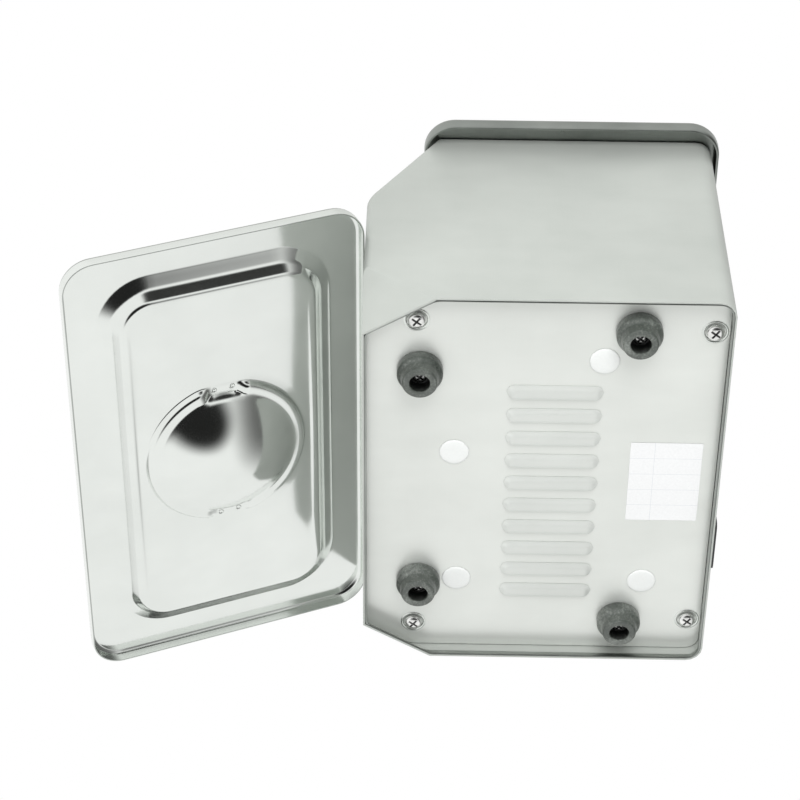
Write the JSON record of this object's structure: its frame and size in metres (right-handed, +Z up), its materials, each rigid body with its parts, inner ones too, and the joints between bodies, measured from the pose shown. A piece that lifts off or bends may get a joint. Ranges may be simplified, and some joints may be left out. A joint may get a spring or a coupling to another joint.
{
  "type": "paraffin wax bath",
  "caption": "Heated benchtop wax bath: steel casing on rubber feet, drop-in rimmed pan, slanted control face and a plug lid leaning on its front.",
  "frame": {"origin": "middle of the footprint of the bath and its leaning lid, on the table", "axes": "+Z up, -Y towards the control side (front), +X to the right seen from the front"},
  "size_m": [0.268, 0.3434, 0.1626],
  "materials": {
    "casing_steel": "satin, fine grain",
    "polished_steel": "bright polished",
    "rubber": "matt moulded",
    "screw_steel": "zinc plated",
    "white_plastic": "soft gloss",
    "paper": "matt sticker",
    "aluminium": "mill",
    "element_steel": "heat stained",
    "felt": "fibrous",
    "brass": "turned",
    "black_plastic": "fine grain",
    "ceramic": "unglazed",
    "panel_white": "satin",
    "amber_lens": "clear moulded"
  },
  "bodies": {
    "bath": {"casing": "casing_steel", "bottom_plate": "casing_steel", "foot_front_right": "rubber", "foot_front_left": "rubber", "foot_rear_right": "rubber", "foot_rear_left": "rubber", "foot_screw_front_right": "screw_steel", "foot_screw_front_left": "screw_steel", "foot_screw_rear_right": "screw_steel", "foot_screw_rear_left": "screw_steel", "foot_nut_front_right": "screw_steel", "foot_nut_front_left": "screw_steel", "foot_nut_rear_right": "screw_steel", "foot_nut_rear_left": "screw_steel", "plate_screw_front_right": "screw_steel", "plate_screw_front_left": "screw_steel", "plate_screw_rear_right": "screw_steel", "plate_screw_rear_left": "screw_steel", "hole_plug_a": "white_plastic", "hole_plug_b": "white_plastic", "hole_plug_c": "white_plastic", "hole_plug_d": "white_plastic", "rating_label": "paper", "heater_plate": "aluminium", "heat_shield": "aluminium", "heater_element": "element_steel", "insulation_pad": "felt", "heater_post_fr": "screw_steel", "shield_standoff_fr": "brass", "heater_post_fl": "screw_steel", "shield_standoff_fl": "brass", "heater_post_rr": "screw_steel", "shield_standoff_rr": "brass", "heater_post_rl": "screw_steel", "shield_standoff_rl": "brass", "thermal_cutout": "black_plastic", "thermostat_body": "black_plastic", "switch_body": "black_plastic", "mains_inlet": "black_plastic", "terminal_block": "ceramic", "control_panel": "panel_white", "thermostat_nut": "brass", "thermostat_bulb": "brass", "lamp_bezel": "screw_steel", "inlet_pin_earth": "screw_steel", "inlet_pin_live": "screw_steel", "inlet_pin_neutral": "screw_steel", "lamp_lens": "amber_lens"},
    "pan": {"pan": "polished_steel"},
    "lid": {"lid": "polished_steel", "lid_handle": "polished_steel"},
    "knob": {"thermostat_knob": "black_plastic", "knob_shaft": "screw_steel"},
    "rocker": {"switch_rocker": "black_plastic"}
  },
  "joints": [
    {"name": "lid_lift", "type": "slide", "parent": "bath", "child": "lid", "axis": [0, -0.35, 0.9367], "range_m": [0, 0.2]},
    {"name": "pan_lift", "type": "slide", "parent": "bath", "child": "pan", "axis": [0, 0, 1], "range_m": [0, 0.12]},
    {"name": "thermostat_turn", "type": "hinge", "parent": "bath", "child": "knob", "pos_m": [0.0465, -0.00417, 0.1231], "axis": [0, 0.8614, -0.5079], "range_deg": [0, 270]},
    {"name": "switch_rock", "type": "hinge", "parent": "bath", "child": "rocker", "pos_m": [-0.0495, -0.00538, 0.12382], "axis": [0, -0.5079, -0.8614], "range_deg": [0, 16]}
  ]
}
